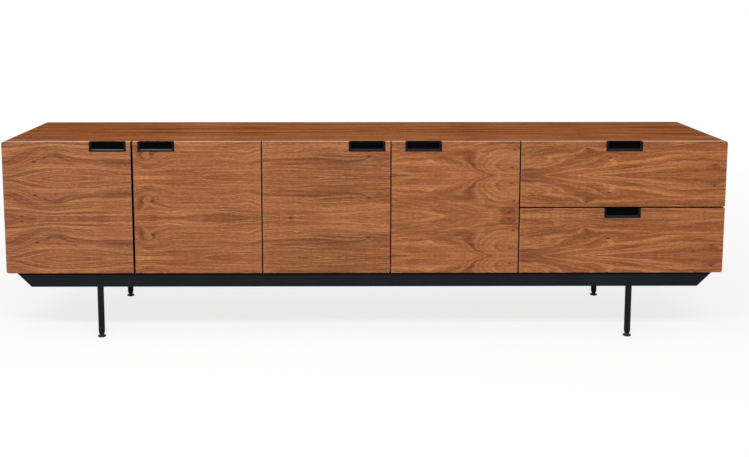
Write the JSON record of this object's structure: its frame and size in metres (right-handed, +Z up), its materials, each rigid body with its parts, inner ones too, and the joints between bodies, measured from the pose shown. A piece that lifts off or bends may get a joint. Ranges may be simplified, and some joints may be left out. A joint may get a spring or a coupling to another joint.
{
  "type": "buffet cabinet",
  "caption": "Long low walnut buffet cabinet on a slim black steel base with round legs; hinged doors over shelves on the left, stacked drawers on the right, recessed black edge pulls.",
  "frame": {"origin": "on the floor under the middle of the cabinet's box", "axes": "+Z up, +X along the cabinet to the right as seen from the front, -Y out of the doors"},
  "size_m": [2.134, 0.457, 0.596],
  "materials": {
    "walnut_veneer": "satin lacquered walnut veneer with the grain running across the fronts",
    "walnut_inside": "matt walnut veneer",
    "birch": "clear lacquered birch",
    "base_black": "fine powder coat",
    "pull_black": "satin black",
    "zinc_steel": "zinc plated",
    "nickel_steel": "nickel plated",
    "glide_black": "matt"
  },
  "bodies": {
    "case": {"top_panel": "walnut_veneer", "bottom_panel": "walnut_veneer", "side_panel_left": "walnut_veneer", "side_panel_right": "walnut_veneer", "partition_left": "walnut_inside", "partition_right": "walnut_inside", "back_panel": "walnut_inside", "shelf_left": "walnut_inside", "shelf_middle": "walnut_inside", "hinge_arm_1_bottom": "nickel_steel", "hinge_arm_1_top": "nickel_steel", "hinge_arm_2_bottom": "nickel_steel", "hinge_arm_2_top": "nickel_steel", "hinge_arm_3_bottom": "nickel_steel", "hinge_arm_3_top": "nickel_steel", "hinge_arm_4_bottom": "nickel_steel", "hinge_arm_4_top": "nickel_steel", "runner_case_upper_left": "zinc_steel", "runner_case_upper_right": "zinc_steel", "runner_case_lower_left": "zinc_steel", "runner_case_lower_right": "zinc_steel", "base_front_rail": "base_black", "base_back_rail": "base_black", "base_end_left": "base_black", "base_end_right": "base_black", "base_cross_rail_left": "base_black", "base_cross_rail_right": "base_black", "leg_front_left": "base_black", "leg_front_right": "base_black", "leg_back_left": "base_black", "leg_back_right": "base_black"},
    "door_1": {"door_1": "walnut_veneer", "pull_door_1": "pull_black"},
    "door_2": {"door_2": "walnut_veneer", "pull_door_2": "pull_black"},
    "door_3": {"door_3": "walnut_veneer", "pull_door_3": "pull_black"},
    "door_4": {"door_4": "walnut_veneer", "pull_door_4": "pull_black"},
    "drawer_upper": {"drawer_front_upper": "walnut_veneer", "drawer_box_upper": "birch", "drawer_bottom_upper": "birch", "pull_drawer_upper": "pull_black", "runner_drawer_upper_left": "zinc_steel", "runner_drawer_upper_right": "zinc_steel"},
    "runner_upper": {"runner_middle_upper_left": "zinc_steel", "runner_middle_upper_right": "zinc_steel"},
    "drawer_lower": {"drawer_front_lower": "walnut_veneer", "drawer_box_lower": "birch", "drawer_bottom_lower": "birch", "pull_drawer_lower": "pull_black", "runner_drawer_lower_left": "zinc_steel", "runner_drawer_lower_right": "zinc_steel"},
    "runner_lower": {"runner_middle_lower_left": "zinc_steel", "runner_middle_lower_right": "zinc_steel"},
    "glide_front_left": {"glide_front_left": "glide_black"},
    "glide_front_right": {"glide_front_right": "glide_black"},
    "glide_back_left": {"glide_back_left": "glide_black"},
    "glide_back_right": {"glide_back_right": "glide_black"}
  },
  "joints": [
    {"name": "door_1_hinge", "type": "hinge", "parent": "case", "child": "door_1", "pos_m": [-1.062, -0.2224, 0.398], "axis": [0, 0, -1], "range_deg": [0, 105]},
    {"name": "door_2_hinge", "type": "hinge", "parent": "case", "child": "door_2", "pos_m": [-0.3116, -0.2224, 0.398], "axis": [0, 0, 1], "range_deg": [0, 90]},
    {"name": "door_3_hinge", "type": "hinge", "parent": "case", "child": "door_3", "pos_m": [-0.2984, -0.2224, 0.398], "axis": [0, 0, -1], "range_deg": [0, 90]},
    {"name": "door_4_hinge", "type": "hinge", "parent": "case", "child": "door_4", "pos_m": [0.4504, -0.2224, 0.398], "axis": [0, 0, 1], "range_deg": [0, 90]},
    {"name": "drawer_upper_slide", "type": "slide", "parent": "case", "child": "drawer_upper", "axis": [0, -1, 0], "range_m": [0, 0.35]},
    {"name": "runner_upper_slide", "type": "slide", "parent": "case", "child": "runner_upper", "axis": [0, -1, 0], "range_m": [0, 0.175]},
    {"name": "drawer_lower_slide", "type": "slide", "parent": "case", "child": "drawer_lower", "axis": [0, -1, 0], "range_m": [0, 0.35]},
    {"name": "runner_lower_slide", "type": "slide", "parent": "case", "child": "runner_lower", "axis": [0, -1, 0], "range_m": [0, 0.175]},
    {"name": "glide_front_left_turn", "type": "hinge", "parent": "case", "child": "glide_front_left", "pos_m": [-0.793, -0.2104, 0.009], "axis": [0, 0, 1], "continuous": true},
    {"name": "glide_front_right_turn", "type": "hinge", "parent": "case", "child": "glide_front_right", "pos_m": [0.793, -0.2104, 0.009], "axis": [0, 0, 1], "continuous": true},
    {"name": "glide_back_left_turn", "type": "hinge", "parent": "case", "child": "glide_back_left", "pos_m": [-0.793, 0.2115, 0.009], "axis": [0, 0, 1], "continuous": true},
    {"name": "glide_back_right_turn", "type": "hinge", "parent": "case", "child": "glide_back_right", "pos_m": [0.793, 0.2115, 0.009], "axis": [0, 0, 1], "continuous": true}
  ],
  "couplings": [
    {"joint": "runner_upper_slide", "follows": "drawer_upper_slide", "ratio": 0.5},
    {"joint": "runner_lower_slide", "follows": "drawer_lower_slide", "ratio": 0.5}
  ]
}
